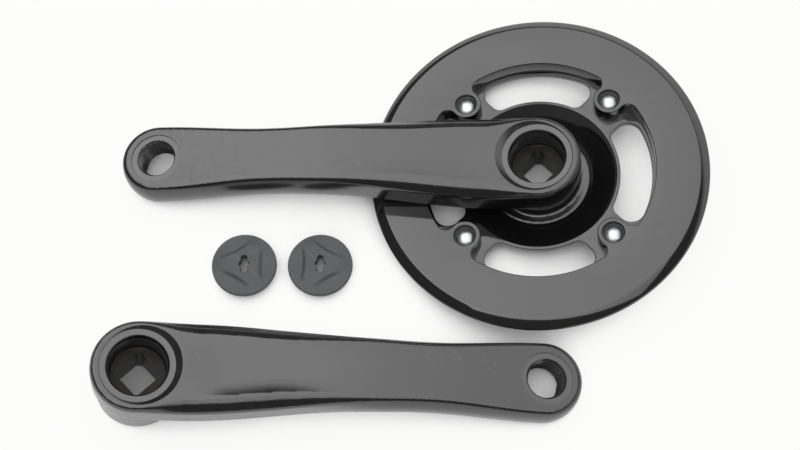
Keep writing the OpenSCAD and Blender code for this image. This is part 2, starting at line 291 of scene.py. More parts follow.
# ---------------------------------------------------------------- places, from the frame

MOUNTS = {m["name"]: m for m in frame["record"]["mounts"]}


def crank_place(side):
    """Matrix in mm from a crank's own frame (X to the pedal, Z out of the boss) to the row."""
    socket = MOUNTS[side + "_spindle_socket"]
    pedal = MOUNTS[side + "_pedal_thread"]
    origin = Vector(socket["pos_m"]) / MM
    out = -Vector(socket["axis"]).normalized()
    along = Vector(pedal["pos_m"]) / MM - origin
    along = (along - out * along.dot(out)).normalized()
    across = out.cross(along)
    place = Matrix((along, across, out)).transposed().to_4x4()
    place.translation = origin
    return place


def boss_height(side):
    """Height of a crank's cap seat above its inner face, from the puller thread's place."""
    thread = MOUNTS[side + "_puller_thread"]
    socket = Vector(MOUNTS[side + "_spindle_socket"]["pos_m"])
    middle = (Vector(thread["pos_m"]) - socket).length / MM
    return middle + thread["dims"]["length_mm"] / 2 + Bore.puller_relief_depth


PLACES = {side: crank_place(side) for side in ("drive", "left")}
DRIVE = PLACES["drive"]
SURFACE = CAD_BOX[0][2] / MM


# ---------------------------------------------------------------- mesh helpers

def smooth(share):
    """0 to 1 with a soft start and end."""
    share = min(1.0, max(0.0, share))
    return share * share * (3 - 2 * share)


def mix(first, second, share):
    return first + (second - first) * share


def clean(data, merge, sliver, outwards=False):
    """Merges points and dissolves slivers up to those sizes, and can turn faces outwards."""
    work = bmesh.new()
    work.from_mesh(data)
    bmesh.ops.remove_doubles(work, verts=work.verts, dist=merge * MM)
    bmesh.ops.dissolve_degenerate(work, edges=work.edges, dist=sliver * MM)
    if outwards:
        bmesh.ops.recalc_face_normals(work, faces=work.faces)
    work.to_mesh(data)
    work.free()


class Shape:
    """Vertices in millimetres and faces, built up from closed loops of points."""

    def __init__(self):
        self.points = []
        self.faces = []
        self.slots = []
        self.slot = 0

    def loop(self, points):
        start = len(self.points)
        self.points.extend(Vector(p) for p in points)
        return list(range(start, len(self.points)))

    def face(self, corners):
        self.faces.append(corners)
        self.slots.append(self.slot)

    def skin(self, lower, upper):
        """Quads between two loops with as many points each."""
        count = len(lower)
        for i in range(count):
            j = (i + 1) % count
            self.face((lower[i], lower[j], upper[j], upper[i]))

    def tube(self, loops):
        """Skins each loop to the next and returns their indices."""
        rings = [self.loop(points) for points in loops]
        for lower, upper in zip(rings, rings[1:]):
            self.skin(lower, upper)
        return rings

    def sheet(self, rings):
        """A flat face bounded by the first loop, with the others as holes."""
        outlines = [[self.points[i] for i in ring] for ring in rings]
        order = [i for ring in rings for i in ring]
        for corners in tessellate_polygon(outlines):
            self.face(tuple(order[c] for c in corners))

    def mesh(self, name, place, materials):
        """A finished object at the origin, with its place in its mesh."""
        data = bpy.data.meshes.new(name)
        data.from_pydata([(place @ p) * MM for p in self.points], [], self.faces)
        for material in materials:
            data.materials.append(material)
        data.polygons.foreach_set("material_index", self.slots)
        clean(data, 0.004, 0.002, outwards=True)
        obj = bpy.data.objects.new(name, data)
        bpy.context.scene.collection.objects.link(obj)
        return obj


def shade(obj, angle):
    """Smooth shading that keeps edges sharper than the angle."""
    obj.data.shade_smooth()
    obj.data.set_sharp_from_angle(angle=radians(angle))


def circle(radius, z, count=192):
    return [(radius * cos(2 * pi * i / count), radius * sin(2 * pi * i / count), z)
            for i in range(count)]


def lathe(shape, profile, count=192, close_start=False, close_end=False):
    """Turns a profile of (radius, z) pairs about Z."""
    rings = shape.tube([circle(radius, z, count) for radius, z in profile])
    if close_start:
        shape.sheet([rings[0]])
    if close_end:
        shape.sheet([rings[-1]])
    return rings


def polar(radius, angle):
    """The point that far from the middle, at an angle in degrees."""
    return radius * cos(radians(angle)), radius * sin(radians(angle))


def arc(centre, radius, start, end, steps):
    """Points on an arc in the plane, from start to end in degrees, both included."""
    points = [polar(radius, start + (end - start) * i / steps) for i in range(steps + 1)]
    return [(centre[0] + x, centre[1] + y) for x, y in points]


def round_over(radius, steps=4):
    """(inset, drop) pairs of a quarter round, from its flat face to its side wall."""
    return [(radius * (1 - sin(pi / 2 * i / steps)), radius * (1 - cos(pi / 2 * i / steps)))
            for i in range(steps + 1)]


def apply_modifiers(obj):
    """Replaces an object's mesh by its evaluated one."""
    depsgraph = bpy.context.evaluated_depsgraph_get()
    baked = bpy.data.meshes.new_from_object(obj.evaluated_get(depsgraph))
    obj.modifiers.clear()
    obj.data = baked


def combine(obj, other, operation):
    """Joins or cuts two shapes, keeps each one's materials and deletes the other."""
    boolean = obj.modifiers.new("combine", "BOOLEAN")
    boolean.operation = operation
    boolean.solver = "EXACT"
    boolean.object = other
    boolean.material_mode = "TRANSFER"
    apply_modifiers(obj)
    bpy.data.objects.remove(other)


def cut(obj, tool):
    """Takes the tool's shape out of the object and deletes the tool."""
    combine(obj, tool, "DIFFERENCE")


def join(obj, other):
    """Adds the other's shape to the object and deletes the other."""
    combine(obj, other, "UNION")


# ---------------------------------------------------------------- materials

def ramp(nodes, link, value, start, end, low, high):
    """A straight run from low to high while the value goes from start to end."""
    node = nodes.new("ShaderNodeMapRange")
    for label, number in (("From Min", start), ("From Max", end),
                          ("To Min", low), ("To Max", high)):
        node.inputs[label].default_value = number
    link(value, node.inputs["Value"])
    return node.outputs["Result"]


def maths(nodes, link, operation, *values):
    """A maths node on sockets and numbers."""
    node = nodes.new("ShaderNodeMath")
    node.operation = operation
    for value, socket in zip(values, node.inputs):
        if isinstance(value, float):
            socket.default_value = value
        else:
            link(value, socket)
    return node.outputs[0]


class Finish:
    """A node material with the nodes that most finishes here share."""

    def __init__(self, name, colour, roughness, metallic=0.0, ior=1.5):
        self.material = bpy.data.materials.new(name)
        self.material.use_nodes = True
        self.tree = self.material.node_tree
        self.nodes = self.tree.nodes
        self.shader = self.nodes["Principled BSDF"]
        self.shader.inputs["Base Color"].default_value = (*colour, 1)
        self.shader.inputs["Roughness"].default_value = roughness
        self.shader.inputs["Metallic"].default_value = metallic
        self.shader.inputs["IOR"].default_value = ior
        self.coordinates = self.nodes.new("ShaderNodeTexCoord")
        self.height = None

    def link(self, source, target):
        self.tree.links.new(source, target)

    def placed(self, place):
        """Object coordinates turned into the frame of a crank or a cap, in metres."""
        mapping = self.nodes.new("ShaderNodeMapping")
        mapping.vector_type = "TEXTURE"
        mapping.inputs["Location"].default_value = place.translation * MM
        mapping.inputs["Rotation"].default_value = place.to_euler("XYZ")
        self.link(self.coordinates.outputs["Object"], mapping.inputs["Vector"])
        return mapping.outputs["Vector"]

    def noise(self, grain_mm, detail=3.0, roughness=0.55, vector=None):
        """Noise whose grain is about that size."""
        node = self.nodes.new("ShaderNodeTexNoise")
        node.inputs["Scale"].default_value = 1 / (grain_mm * MM)
        node.inputs["Detail"].default_value = detail
        node.inputs["Roughness"].default_value = roughness
        self.link(vector or self.coordinates.outputs["Object"], node.inputs["Vector"])
        return node.outputs["Fac"]

    def stretched(self, vector, scale):
        node = self.nodes.new("ShaderNodeMapping")
        node.inputs["Scale"].default_value = scale
        self.link(vector or self.coordinates.outputs["Object"], node.inputs["Vector"])
        return node.outputs["Vector"]

    def spread(self, fac, low, high, out_low, out_high):
        return ramp(self.nodes, self.link, fac, low, high, out_low, out_high)

    def blend(self, fac, first, second):
        """Mixes two colours, or a colour over a colour socket."""
        node = self.nodes.new("ShaderNodeMix")
        node.data_type = "RGBA"
        self.link(fac, node.inputs["Factor"])
        for value, socket in ((first, node.inputs["A"]), (second, node.inputs["B"])):
            if isinstance(value, tuple):
                socket.default_value = (*value, 1)
            else:
                self.link(value, socket)
        return node.outputs["Result"]

    def colour(self, source):
        self.link(source, self.shader.inputs["Base Color"])

    def roughness(self, source):
        self.link(source, self.shader.inputs["Roughness"])

    def bump(self, source, depth_mm, strength=1.0):
        node = self.nodes.new("ShaderNodeBump")
        node.inputs["Distance"].default_value = depth_mm * MM
        node.inputs["Strength"].default_value = strength
        self.link(source, node.inputs["Height"])
        if self.height:
            self.link(self.height, node.inputs["Normal"])
        self.height = node.outputs["Normal"]
        self.link(self.height, self.shader.inputs["Normal"])

    def wear_and_highlight_edges(self, base, other_tone, amount=0.5):
        """Base colour with a paler one where the surface is sharply convex: edge wear and a
        painted highlight along crests.
        """
        edge = self.nodes.new("ShaderNodeNewGeometry").outputs["Pointiness"]
        return self.blend(self.spread(edge, 0.53, 0.6, 0, amount), base, other_tone)


def plain_finish(name, colour, roughness, shades, cloud, gloss, gloss_grain, bump, bump_grain,
                 gloss_clip=(0.3, 0.7), edge_wear_and_highlight=None, **more):
    """A finish whose shade, gloss and height follow noises of a (grain in mm, detail) each."""
    finish = Finish(name, colour, roughness, **more)
    shade = finish.blend(finish.noise(*cloud), *shades)
    finish.colour(finish.wear_and_highlight_edges(shade, *edge_wear_and_highlight) if edge_wear_and_highlight else shade)
    finish.roughness(finish.spread(finish.noise(*gloss_grain), *gloss_clip, *gloss))
    finish.bump(finish.noise(*bump_grain), *bump)
    return finish.material


def machined_black(name, place, colour=(0.012, 0.012, 0.013), roughness=0.2, ior=1.95):
    """Anodised alloy with the fine rings that a cutting tool leaves round the axis."""
    finish = Finish(name, colour, roughness, ior=ior)
    local = finish.placed(place)
    flat = finish.stretched(local, (1, 1, 0))
    length = finish.nodes.new("ShaderNodeVectorMath")
    length.operation = "LENGTH"
    finish.link(flat, length.inputs[0])
    split = finish.nodes.new("ShaderNodeSeparateXYZ")
    finish.link(local, split.inputs[0])
    polar = finish.nodes.new("ShaderNodeCombineXYZ")
    finish.link(length.outputs["Value"], polar.inputs["X"])
    finish.link(split.outputs["Z"], polar.inputs["Y"])
    rings = finish.noise(0.18, 2, vector=polar.outputs["Vector"])
    stain = finish.spread(finish.noise(4, 3), 0.35, 0.65, 0, 1)
    base = finish.blend(stain, tuple(c * 0.8 for c in colour), tuple(c * 1.2 for c in colour))
    # paler convex edges: painted edge glints along with edge wear
    finish.colour(finish.wear_and_highlight_edges(base, (0.05, 0.05, 0.05)))
    finish.roughness(finish.spread(rings, 0.3, 0.7, roughness - 0.05, roughness + 0.1))
    finish.bump(rings, 0.02, 0.8)
    return finish.material


def gloss_paint(name, ior):
    """Baked gloss black on stamped steel."""
    return plain_finish(name, (0.005, 0.005, 0.005), 0.08,
                        ((0.004, 0.004, 0.004), (0.007, 0.007, 0.007)), (12, 3),
                        (0.06, 0.12), (2, 4), (0.006, 0.5), (1.1, 2), ior=ior)


# bead-blasted alloy, anodised black
# its paler crest edges are a painted highlight, along with edge wear
SATIN = plain_finish("satin_black", (0.008, 0.008, 0.008), 0.2,
                     ((0.007, 0.007, 0.007), (0.011, 0.011, 0.011)), (18, 2),
                     (0.17, 0.25), (3, 4), (0.008, 0.6), (0.22, 2),
                     edge_wear_and_highlight=((0.06, 0.06, 0.06),), ior=1.85)
# glossy moulded plastic with a faint ripple
PLASTIC = plain_finish("moulded_black", (0.01, 0.01, 0.01), 0.06,
                       ((0.009, 0.009, 0.009), (0.013, 0.013, 0.012)), (25, 2),
                       (0.05, 0.1), (1.2, 5, 0.7), (0.02, 0.3), (14, 1),
                       gloss_clip=(0.35, 0.75), ior=1.8)
PAINT = gloss_paint("gloss_paint", 1.85)
# the chainring's gloss paint again with a weaker reflection, so the pressed dish renders deep
# black: painted shade
DISH_SHADE_COAT = gloss_paint("dish_shade_coat", 1.2)
# pressed rivet steel, scuffed and a little dull
STEEL = plain_finish("bright_steel", (0.6, 0.61, 0.62), 0.3,
                     ((0.42, 0.45, 0.46), (0.74, 0.75, 0.75)), (1.2, 4),
                     (0.22, 0.4), (0.7, 4), (0.06, 0.8), (0.9, 3), metallic=1.0)
# matte dark grey moulded plastic with a fine spark grain
GRAIN = plain_finish("grained_plastic", (0.075, 0.077, 0.08), 0.55,
                     ((0.066, 0.068, 0.071), (0.088, 0.09, 0.093)), (5, 3),
                     (0.45, 0.62), (0.16, 2), (0.02, 0.7), (0.16, 2),
                     edge_wear_and_highlight=((0.16, 0.16, 0.16), 0.35))


# ---------------------------------------------------------------- threads, with Geometry Nodes

def open_tree(name, **inputs):
    """A Geometry Nodes tree, and the keys that a modifier sets its inputs by."""
    tree = bpy.data.node_groups.new(name, "GeometryNodeTree")
    keys = {}
    for label, kind in {"Geometry": "Geometry", **inputs}.items():
        socket = tree.interface.new_socket(label, in_out="INPUT", socket_type="NodeSocket" + kind)
        keys[label] = socket.identifier
    tree.interface.new_socket("Geometry", in_out="OUTPUT", socket_type="NodeSocketGeometry")
    return tree, keys


def close_tree(tree, geometry, material):
    """Makes the geometry real, gives it the material and sends it out."""
    new, link = tree.nodes.new, tree.links.new
    whole = new("GeometryNodeRealizeInstances")
    link(geometry, whole.inputs[0])
    paint = new("GeometryNodeSetMaterial")
    link(whole.outputs[0], paint.inputs["Geometry"])
    link(material, paint.inputs["Material"])
    link(paint.outputs[0], new("NodeGroupOutput").inputs[0])


def thread_tree():
    """A ridge that climbs a helix: radius, pitch, turns, depth and material are inputs."""
    tree, keys = open_tree("thread", Radius="Float", Pitch="Float", Turns="Float",
                           Depth="Float", Material="Material")
    new, link = tree.nodes.new, tree.links.new
    given = new("NodeGroupInput").outputs
    height = new("ShaderNodeMath")
    height.operation = "MULTIPLY"
    link(given["Pitch"], height.inputs[0])
    link(given["Turns"], height.inputs[1])
    spiral = new("GeometryNodeCurveSpiral")
    spiral.inputs["Resolution"].default_value = 72
    link(given["Turns"], spiral.inputs["Rotations"])
    link(given["Radius"], spiral.inputs["Start Radius"])
    link(given["Radius"], spiral.inputs["End Radius"])
    link(height.outputs[0], spiral.inputs["Height"])
    upright = new("GeometryNodeSetCurveNormal")
    upright.mode = "Z_UP"
    link(spiral.outputs["Curve"], upright.inputs["Curve"])
    section = new("GeometryNodeCurvePrimitiveCircle")
    section.inputs["Resolution"].default_value = 4
    link(given["Depth"], section.inputs["Radius"])
    sweep = new("GeometryNodeCurveToMesh")
    sweep.inputs["Fill Caps"].default_value = True
    link(upright.outputs["Curve"], sweep.inputs["Curve"])
    link(section.outputs["Curve"], sweep.inputs["Profile Curve"])
    close_tree(tree, sweep.outputs["Mesh"], given["Material"])
    return tree, keys


THREAD, THREAD_INPUTS = thread_tree()


def thread(name, place, base, radius, pitch, length, depth, material):
    """A finished thread ridge that starts at height base on the place's Z axis."""
    seed = bpy.data.meshes.new(name)
    obj = bpy.data.objects.new(name, seed)
    bpy.context.scene.collection.objects.link(obj)
    nodes = obj.modifiers.new("thread", "NODES")
    nodes.node_group = THREAD
    for label, value in (("Radius", radius), ("Pitch", pitch), ("Turns", length / pitch),
                         ("Depth", depth), ("Material", material)):
        nodes[THREAD_INPUTS[label]] = value
    apply_modifiers(obj)
    obj.data.transform(Matrix.Scale(MM, 4) @ place @ Matrix.Translation((0, 0, base)))
    obj.data.shade_flat()
    return obj


# ---------------------------------------------------------------- crank arms

def root_share(x):
    """1 at the boss, 0 at the waist and beyond."""
    return 1 - smooth((x - Arm.facet_fade_start) / Arm.facet_fade_length)


def end_share(x, length):
    start = Arm.waist_distance + Arm.end_gap
    return smooth((x - start) / (length - start))


def half_width(x, length):
    if x < Arm.waist_distance:
        share = smooth((Arm.waist_distance - x) / Arm.swell_length)
        return mix(Arm.waist_half_width, Arm.boss_radius, share)
    return mix(Arm.waist_half_width, Arm.pedal_end_radius, end_share(x, length))


def outer_height(x, length):
    climb = (Arm.rise_at_waist - Arm.rise_at_boss) * smooth((x - Arm.rise_start) / Arm.rise_length)
    fall = (Arm.rise_at_waist - Arm.rise_at_pedal) * end_share(x, length)
    return Arm.rise_at_boss + climb - fall


def inner_height(x):
    root = Arm.root_depth * (1 - smooth((x - Arm.root_start) / Arm.root_length))
    return Arm.rise_at_pedal - Arm.pedal_end_thickness - root


def arm_outline(length):
    """(point on the outline, nearest point of the middle line) pairs, once round the arm."""
    boss_turns = int(pi / 2 * Arm.boss_radius / Arm.outline_step)
    end_turns = int(pi / 2 * Arm.pedal_end_radius / Arm.outline_step)
    side = int(length / Arm.outline_step)
    half = [((Arm.boss_radius * cos(pi - pi / 2 * i / boss_turns),
              Arm.boss_radius * sin(pi - pi / 2 * i / boss_turns)), 0.0)
            for i in range(boss_turns)]
    half += [((length * i / side, half_width(length * i / side, length)), length * i / side)
             for i in range(side)]
    half += [((length + Arm.pedal_end_radius * sin(pi / 2 * i / end_turns),
               Arm.pedal_end_radius * cos(pi / 2 * i / end_turns)), length)
             for i in range(end_turns + 1)]
    mirrored = [((x, -y), foot) for (x, y), foot in half[-2:0:-1]]
    return half + mirrored


def root_edge(x, depth, share):
    """(inset, drop) down the arm's edge at its root: two bevels, then a wall."""
    away = smooth(x / Arm.seat_rim_length)
    facet = mix(Arm.seat_rim_width, Arm.boss_radius - Arm.facet_half_width, away)
    first = mix(Arm.seat_rim_drops[0], Arm.first_bevel_drop, away)
    second = mix(Arm.seat_rim_drops[1], Arm.second_bevel_drop, away)
    first_stop, second_stop, wall_stop = Arm.bevel_stops
    corners = ((0, facet, 0),
               (first_stop, facet * Arm.first_bevel_share, first),
               (second_stop, facet * Arm.second_bevel_share, second),
               (wall_stop, 0, second + Arm.wall_round),
               (1, 0, depth - Arm.under_round))
    for (start, inset, drop), (end, next_inset, next_drop) in zip(corners, corners[1:]):
        if share <= end:
            part = (share - start) / (end - start)
            return mix(inset, next_inset, part), mix(drop, next_drop, part)


def waist_edge(depth, bulge, share):
    """(inset, drop) down the arm's edge at its waist: a soft crest, then a bulging side."""
    crest, tuck = radians(Arm.crest_angle), radians(Arm.tuck_angle)
    if share < Arm.crest_stop:
        angle = mix(pi / 2, crest, share / Arm.crest_stop)
        return (Arm.crest_round * (cos(crest) - cos(angle)), Arm.crest_round * (1 - sin(angle)))
    angle = mix(crest, -tuck, (share - Arm.crest_stop) / (1 - Arm.crest_stop))
    start = Arm.crest_round * (1 - sin(crest))
    tall = depth - start - Arm.under_round * (1 - sin(tuck))
    ball = tall / (sin(crest) + sin(tuck))
    return (-bulge * (cos(angle) - cos(crest)) / (1 - cos(crest)),
            start + ball * (sin(crest) - sin(angle)))


def arm_layers(x, length, root_hollow):
    """(inset, drop below the outer face as a share of the depth) of the arm's skin at x, from
    the outer face's middle line over the edge and down to the inner face's."""
    root = root_share(x)
    width = half_width(x, length)
    depth = outer_height(x, length) - inner_height(x)
    bulge = Arm.side_bulge * (1 - root) * (1 - Arm.end_bulge_loss * end_share(x, length))
    edge = []
    for i in range(Arm.edge_steps + 1):
        share = i / Arm.edge_steps
        pairs = zip(root_edge(x, depth, share), waist_edge(depth, bulge, share))
        edge.append(tuple(mix(waist, rooted, root) for rooted, waist in pairs))
    brink = edge[0][0]
    trough = root * smooth((x - Arm.hollow_start) / Arm.hollow_length)
    hollow = mix(Arm.face_hollow, root_hollow, trough)
    layers = []
    for share in Arm.face_stops:
        layers.append((mix(brink, width, share), hollow * (1 - (1 - share) ** 2)))
    layers += edge
    last, low = edge[-1]
    for i in range(1, Arm.under_steps + 1):
        angle = pi / 2 * i / Arm.under_steps
        layers.append((last + Arm.under_round * (1 - cos(angle)), mix(low, depth, sin(angle))))
    under = layers[-1][0]
    for share in Arm.under_stops:
        layers.append((mix(under, width, share), depth))
    return [(inset, drop / depth) for inset, drop in layers]


def forged_arm(name, side, shank):
    """The forging: arm and boss as one softened skin that stays above the table."""
    place = PLACES[side]
    length = pedal_distance(side)
    seat = boss_height(side)
    outline = arm_outline(length)
    layers = [arm_layers(foot, length, Arm.root_hollow[side]) for _, foot in outline]
    shape = Shape()
    loops = []
    for level in range(len(layers[0])):
        ring = []
        for ((x, y), foot), stack in zip(outline, layers):
            inset, drop = stack[level]
            share = inset / sqrt((x - foot) ** 2 + y * y)
            along = mix(x, foot, share)
            height = mix(outer_height(along, length), inner_height(foot), drop)
            ring.append((along, y * (1 - share), seat + height))
        loops.append(ring)
    shape.tube(loops)
    arm = shape.mesh(name, place, [SATIN])
    post = Shape()
    lathe(post, shank, close_start=True, close_end=True)
    join(arm, post.mesh("shank", place, [SATIN]))
    soften = arm.modifiers.new("soften", "REMESH")
    soften.mode = "VOXEL"
    soften.voxel_size = Arm.skin_voxel * MM
    relax = arm.modifiers.new("relax", "SMOOTH")
    relax.factor = 0.5
    relax.iterations = Arm.relax_passes
    apply_modifiers(arm)
    for vertex in arm.data.vertices:
        vertex.co.z = max(vertex.co.z, SURFACE * MM)
    return arm


def pedal_distance(side):
    pedal = Vector(MOUNTS[side + "_pedal_thread"]["pos_m"]) / MM
    return (PLACES[side].inverted() @ pedal).x


def spindle_tool(side, turned, threaded, other_tone):
    """Cutter for the cap seat, puller thread and bolt seat, and another for the square socket."""
    place = PLACES[side]
    seat = boss_height(side)
    thread_mount = MOUNTS[side + "_puller_thread"]["dims"]
    minor = thread_mount["r_mm"]
    major = minor + Bore.thread_depth
    bolt_seat = seat - Bore.puller_relief_depth - thread_mount["length_mm"]
    relief = seat - Bore.puller_relief_depth
    brink = seat - Bore.relief_break
    shape = Shape()
    # the bolt seat takes the darker socket finish: painted shade
    shape.slot = 2
    lathe(shape, [(minor - Bore.bolt_seat_chamfer, bolt_seat - Bore.bolt_seat_groove),
                  (minor - Bore.fillet, bolt_seat)], close_start=True)
    # the thread zone takes the darker thread finish: painted shade
    shape.slot = 1
    lathe(shape, [(minor - Bore.fillet, bolt_seat), (major, bolt_seat + Bore.bolt_seat_chamfer),
                  (major, relief), (Bore.puller_relief_radius, relief + Bore.fillet),
                  (Bore.puller_relief_radius, brink)])
    shape.slot = 0
    steps = range(1, Bore.cap_seat_rise + 1)
    cone = [(Bore.cap_seat_radius + rise, seat + rise) for rise in steps]
    rim = [(Bore.puller_relief_radius, brink),
           (Bore.puller_relief_radius + Bore.relief_break, seat),
           (Bore.cap_seat_radius - Bore.fillet, seat),
           (Bore.cap_seat_radius, seat + Bore.cap_seat_break)]
    lathe(shape, rim + cone, close_end=True)
    round_tool = shape.mesh("round_tool", place, [turned, threaded, other_tone])
    square = Shape()
    slope = (Bore.socket_mouth_width - Bore.socket_seat_width) / bolt_seat
    loops = []
    for z in (-2 * Bore.overrun, bolt_seat + Bore.overrun):
        half = (Bore.socket_mouth_width - slope * z) / 2
        loops.append(square_outline(half, Bore.socket_corner_radius, z))
    rings = square.tube(loops)
    square.sheet([rings[0]])
    square.sheet([rings[1]])
    return round_tool, square.mesh("square_tool", place, [other_tone])


def square_outline(half, corner, z):
    """A square turned by 45 degrees with its corners cut off by a circle."""
    reach = degrees(acos(half / corner))
    points = []
    for k in range(4):
        middle = 45 + 90 * k
        turn = arc((0, 0), corner, middle + reach, middle + 90 - reach, 5)
        points += [(x, y, z) for x, y in turn]
    return points


def pedal_tool(side, turned):
    """Cutter for the pedal hole with its washer face and its countersunk back."""
    length = pedal_distance(side)
    seat = boss_height(side)
    radius = MOUNTS[side + "_pedal_thread"]["dims"]["r_mm"] + Bore.thread_depth
    face = seat + Arm.rise_at_pedal - Bore.washer_face_depth
    low = seat + Arm.rise_at_pedal - Arm.pedal_end_thickness
    inset, rise = Bore.washer_face_fillet
    shape = Shape()
    lathe(shape, [(radius + Bore.pedal_countersink, low - Bore.overrun),
                  (radius, low + Bore.pedal_countersink - Bore.overrun),
                  (radius, face - Bore.pedal_break), (radius + Bore.pedal_break, face),
                  (Bore.washer_face_radius - inset, face), (Bore.washer_face_radius, face + rise),
                  (Bore.washer_face_radius, face + 3 * Bore.overrun)],
          close_start=True, close_end=True)
    place = PLACES[side] @ Matrix.Translation((length, 0, 0))
    return shape.mesh("pedal_tool", place, [turned])


def crank_arm(side, shank, body):
    """A whole crank arm with its machined holes and threads."""
    place = PLACES[side]
    name = side + "_crank_arm_finished"
    turned = machined_black(side + "_turned_boss", place)
    # darker, weakly reflecting copy of the machined finish for the thread zone deep in the bore:
    # painted shade
    threaded = machined_black(side + "_cut_threads", place, (0.005, 0.005, 0.005), 0.1, 1.3)
    pedal_place = place @ Matrix.Translation((pedal_distance(side), 0, 0))
    turned_pedal = machined_black(side + "_turned_pedal_hole", pedal_place)
    # brownish near-black, weakly reflecting copy of the machined finish for the bolt seat and
    # square socket deep in the boss: painted shade
    other_tone = machined_black(side + "_broached_socket", place, (0.022, 0.02, 0.017), 0.3, 1.22)
    arm = forged_arm(name, side, shank)
    round_tool, square_tool = spindle_tool(side, turned, threaded, other_tone)
    cut(arm, round_tool)
    cut(arm, square_tool)
    cut(arm, pedal_tool(side, turned_pedal))
    clean(arm.data, 0.03, 0.01)
    shade(arm, Arm.sharp_angle)
    even = arm.modifiers.new("even", "WEIGHTED_NORMAL")
    even.keep_sharp = True
    apply_modifiers(arm)
    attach(arm, body)
    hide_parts(side + "_crank_arm")
    seat = boss_height(side)
    puller = MOUNTS[side + "_puller_thread"]["dims"]
    bolt_seat = seat - Bore.puller_relief_depth - puller["length_mm"]
    ridge = thread(side + "_puller_ridge", place, bolt_seat + Bore.puller_ridge_start,
                   puller["r_mm"] + Bore.thread_depth, Bore.puller_pitch,
                   puller["length_mm"] - Bore.puller_ridge_loss, Bore.thread_depth, threaded)
    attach(ridge, body)
    pedal = MOUNTS[side + "_pedal_thread"]["dims"]
    low = seat + Arm.rise_at_pedal - Arm.pedal_end_thickness
    ridge = thread(side + "_pedal_ridge", pedal_place, low + Bore.pedal_ridge_start,
                   pedal["r_mm"] + Bore.thread_depth, Bore.pedal_pitch,
                   pedal["length_mm"] - Bore.pedal_ridge_loss,
                   Bore.thread_depth + Bore.pedal_ridge_extra, turned_pedal)
    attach(ridge, body)


def drive_crank():
    """The drive arm on a shank that carries the chainring between a flange and a peened lip."""
    neck = boss_height("drive") - Arm.neck_depth
    swollen = Arm.shank_radius + Arm.neck_swell
    dish_back = DISH_FLOOR - Plate.thickness
    lip_bottom = dish_back - Plate.lip_height
    flange_top = DISH_FLOOR + Plate.flange_thickness
    shank = [(Arm.shank_radius - Arm.shank_chamfer, 0), (Arm.shank_radius, Arm.shank_chamfer),
             (Arm.shank_radius, lip_bottom - Plate.lip_fillet), (Plate.lip_radius, lip_bottom),
             (Plate.lip_radius, dish_back), (Arm.shank_radius, dish_back),
             (Arm.shank_radius, DISH_FLOOR), (Plate.flange_radius, DISH_FLOOR),
             (Plate.flange_radius, flange_top - Plate.flange_chamfer),
             (Plate.flange_radius - Plate.flange_chamfer, flange_top),
             (swollen + Plate.flange_fillet, flange_top),
             (swollen, flange_top + Plate.flange_fillet), (swollen, neck + Arm.neck_overlap)]
    crank_arm("drive", shank, "drive_assembly")


def left_crank():
    """The left arm on a plain shank."""
    neck = boss_height("left") - Arm.neck_depth
    swollen = Arm.shank_radius + Arm.neck_swell
    shank = [(Arm.shank_radius - Arm.shank_chamfer, 0), (Arm.shank_radius, Arm.shank_chamfer),
             (Arm.shank_radius, neck - Arm.neck_taper), (swollen, neck),
             (swollen, neck + Arm.neck_overlap)]
    crank_arm("left", shank, "left_crank")


# ---------------------------------------------------------------- chain guard

def guard_opening(offset, z):
    """Outline of the guard's opening, moved outwards from it by offset."""
    window = Guard.window_radius + offset
    corner_radius = Guard.tab_corner + offset
    tab_radius = Guard.tab_radius - offset
    reach = Guard.window_radius - Guard.tab_corner
    touch = Guard.tab_radius + Guard.tab_corner
    swing = degrees(acos((Rivet.circle_radius ** 2 + reach ** 2 - touch ** 2)
                         / (2 * Rivet.circle_radius * reach)))
    start = 45 - swing
    corner = polar(reach, start)
    tab = polar(Rivet.circle_radius, 45)
    towards = degrees(atan2(tab[1] - corner[1], tab[0] - corner[0]))
    corner_arc = arc(corner, corner_radius, start, towards, 12)
    quarter = arc((0, 0), window, -start, start, 40)[:-1] + corner_arc[:-1]
    quarter += arc(tab, tab_radius, towards + 180, 270 - towards, 28)[:-1]
    quarter += [(y, x) for x, y in reversed(corner_arc)][:-1]
    outline = []
    for k in range(4):
        along, across = cos(radians(90 * k)), sin(radians(90 * k))
        outline += [(x * along - y * across, x * across + y * along, z) for x, y in quarter]
    return outline


def at_rivets(points):
    """The same loop of points at each rivet's place."""
    loops = []
    for k in range(4):
        x0, y0 = polar(Rivet.circle_radius, 45 + 90 * k)
        loops.append([(x0 + x, y0 + y, z) for x, y, z in points])
    return loops


